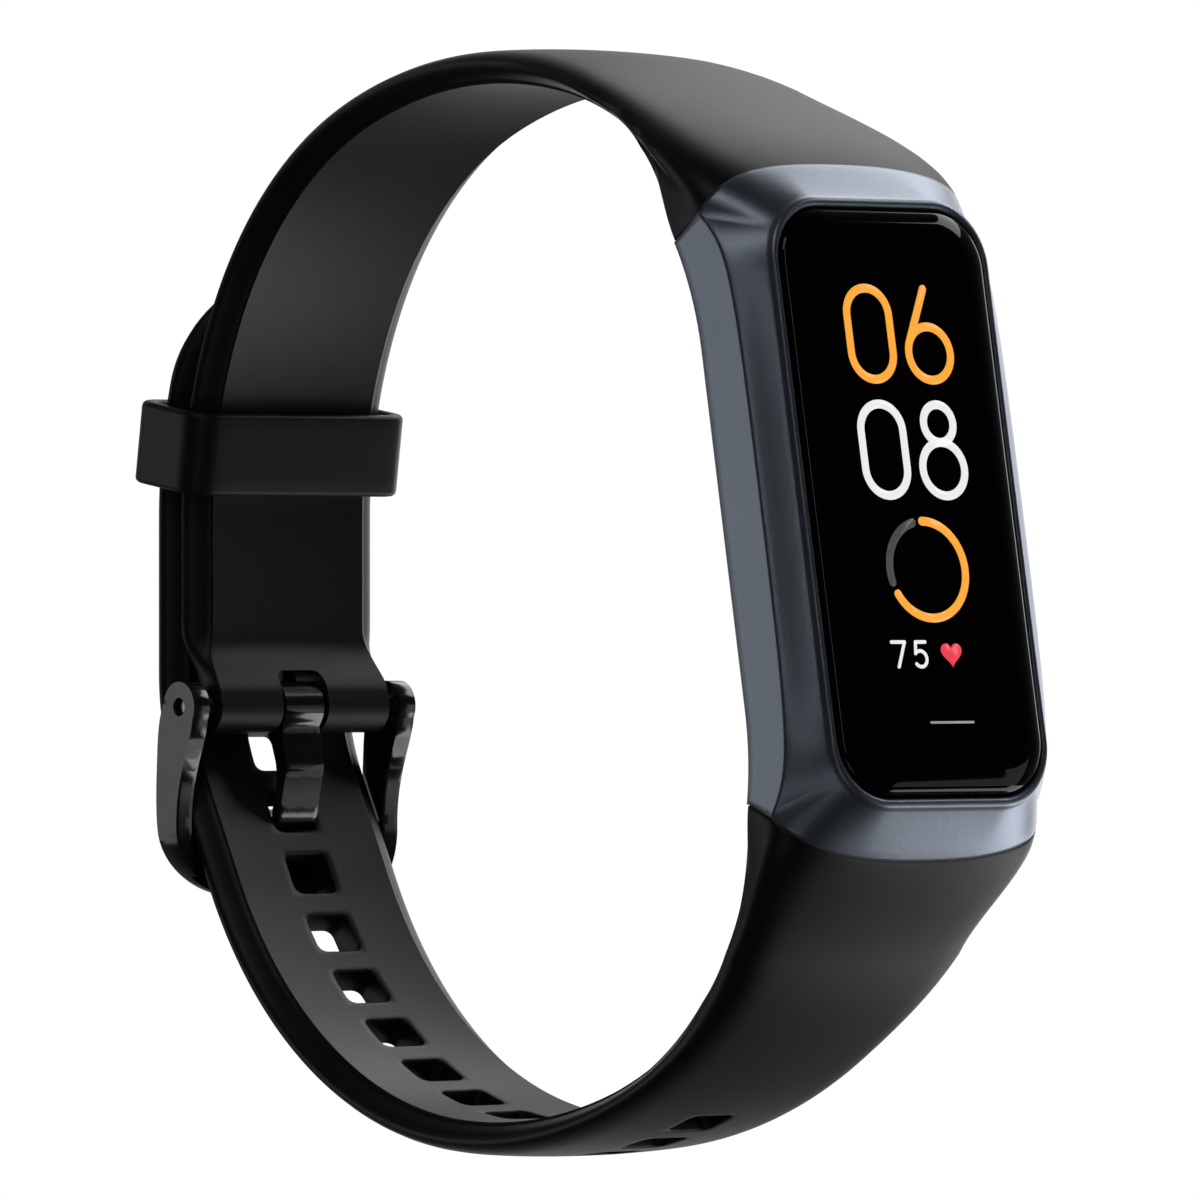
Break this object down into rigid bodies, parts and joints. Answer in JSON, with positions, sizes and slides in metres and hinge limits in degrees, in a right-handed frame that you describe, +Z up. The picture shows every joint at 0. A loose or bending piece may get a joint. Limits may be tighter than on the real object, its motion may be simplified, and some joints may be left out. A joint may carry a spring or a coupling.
{
  "type": "fitness tracker band",
  "caption": "Closed wrist band with a tilted slim display module, a two-piece strap, a sliding keeper loop and a pin buckle.",
  "frame": {"origin": "centre of the wrist opening, halfway across the band", "axes": "+Z up as worn round an upright forearm's ring, +X towards the display side, +Y along the wrist's axis"},
  "size_m": [0.0664, 0.0194, 0.064],
  "materials": {
    "slate_metal": "satin, fine-grained slate blue-grey",
    "cover_glass": "polished, dark",
    "sealant": "matte",
    "display": "gloss black, lit picture",
    "flex_circuit": "amber film",
    "circuit_board": "solder mask green",
    "chips": "moulded black",
    "battery_foil": "foil pouch",
    "steel": "satin",
    "tungsten": "satin",
    "black_plastic": "fine satin texture",
    "gasket_rubber": "matte",
    "sensor_glass": "polished, smoked",
    "lamp_dies": "clear cap",
    "gold": "polished plating",
    "strap_silicone": "satin black",
    "keeper_silicone": "satin black",
    "black_metal": "gloss black plating"
  },
  "bodies": {
    "band": {"module_frame": "slate_metal", "cover_glass": "cover_glass", "glass_adhesive": "sealant", "display_panel": "display", "display_flex": "flex_circuit", "main_board": "circuit_board", "board_chips": "chips", "antenna": "flex_circuit", "battery": "battery_foil", "battery_tape": "sealant", "motor_case": "steel", "rear_cover": "black_plastic", "rear_gasket": "gasket_rubber", "sensor_window": "sensor_glass", "sensor_board": "circuit_board", "sensor_lamps": "lamp_dies", "photodiodes": "chips", "light_wall": "black_plastic", "charge_contacts": "gold", "charge_magnets": "steel", "lug_pins": "steel", "upper_strap": "strap_silicone", "lower_strap": "strap_silicone", "spring_bar_tube": "steel", "bar_spring": "steel"},
    "keeper": {"keeper_loop": "keeper_silicone"},
    "buckle": {"buckle_frame": "black_metal"},
    "tongue": {"buckle_tongue": "black_metal"},
    "bar_tip_near": {"spring_bar_tip_near": "steel"},
    "bar_tip_far": {"spring_bar_tip_far": "steel"},
    "motor_rotor": {"motor_shaft": "steel", "motor_weight": "tungsten"}
  },
  "joints": [
    {"name": "buckle_swing", "type": "hinge", "parent": "band", "child": "buckle", "pos_m": [-0.02675, 0, -0.00615], "axis": [0, 1, 0], "range_deg": [0, 105]},
    {"name": "tongue_swing", "type": "hinge", "parent": "band", "child": "tongue", "pos_m": [-0.02675, 0, -0.00615], "axis": [0, -1, 0], "range_deg": [0, 80]},
    {"name": "keeper_slide", "type": "hinge", "parent": "band", "child": "keeper", "pos_m": [-0.00118, 0, 0.005], "axis": [0, 1, 0], "range_deg": [-5, 14]},
    {"name": "bar_tip_near_slide", "type": "slide", "parent": "band", "child": "bar_tip_near", "axis": [0, 1, 0], "range_m": [0, 0.001], "stiffness_N_per_m": 400, "springref_m": -0.0005},
    {"name": "bar_tip_far_slide", "type": "slide", "parent": "band", "child": "bar_tip_far", "axis": [0, -1, 0], "range_m": [0, 0.001], "stiffness_N_per_m": 400, "springref_m": -0.0005},
    {"name": "motor_spin", "type": "hinge", "parent": "band", "child": "motor_rotor", "pos_m": [0.02507, 0, 0.01825], "axis": [0, 1, 0], "continuous": true}
  ]
}
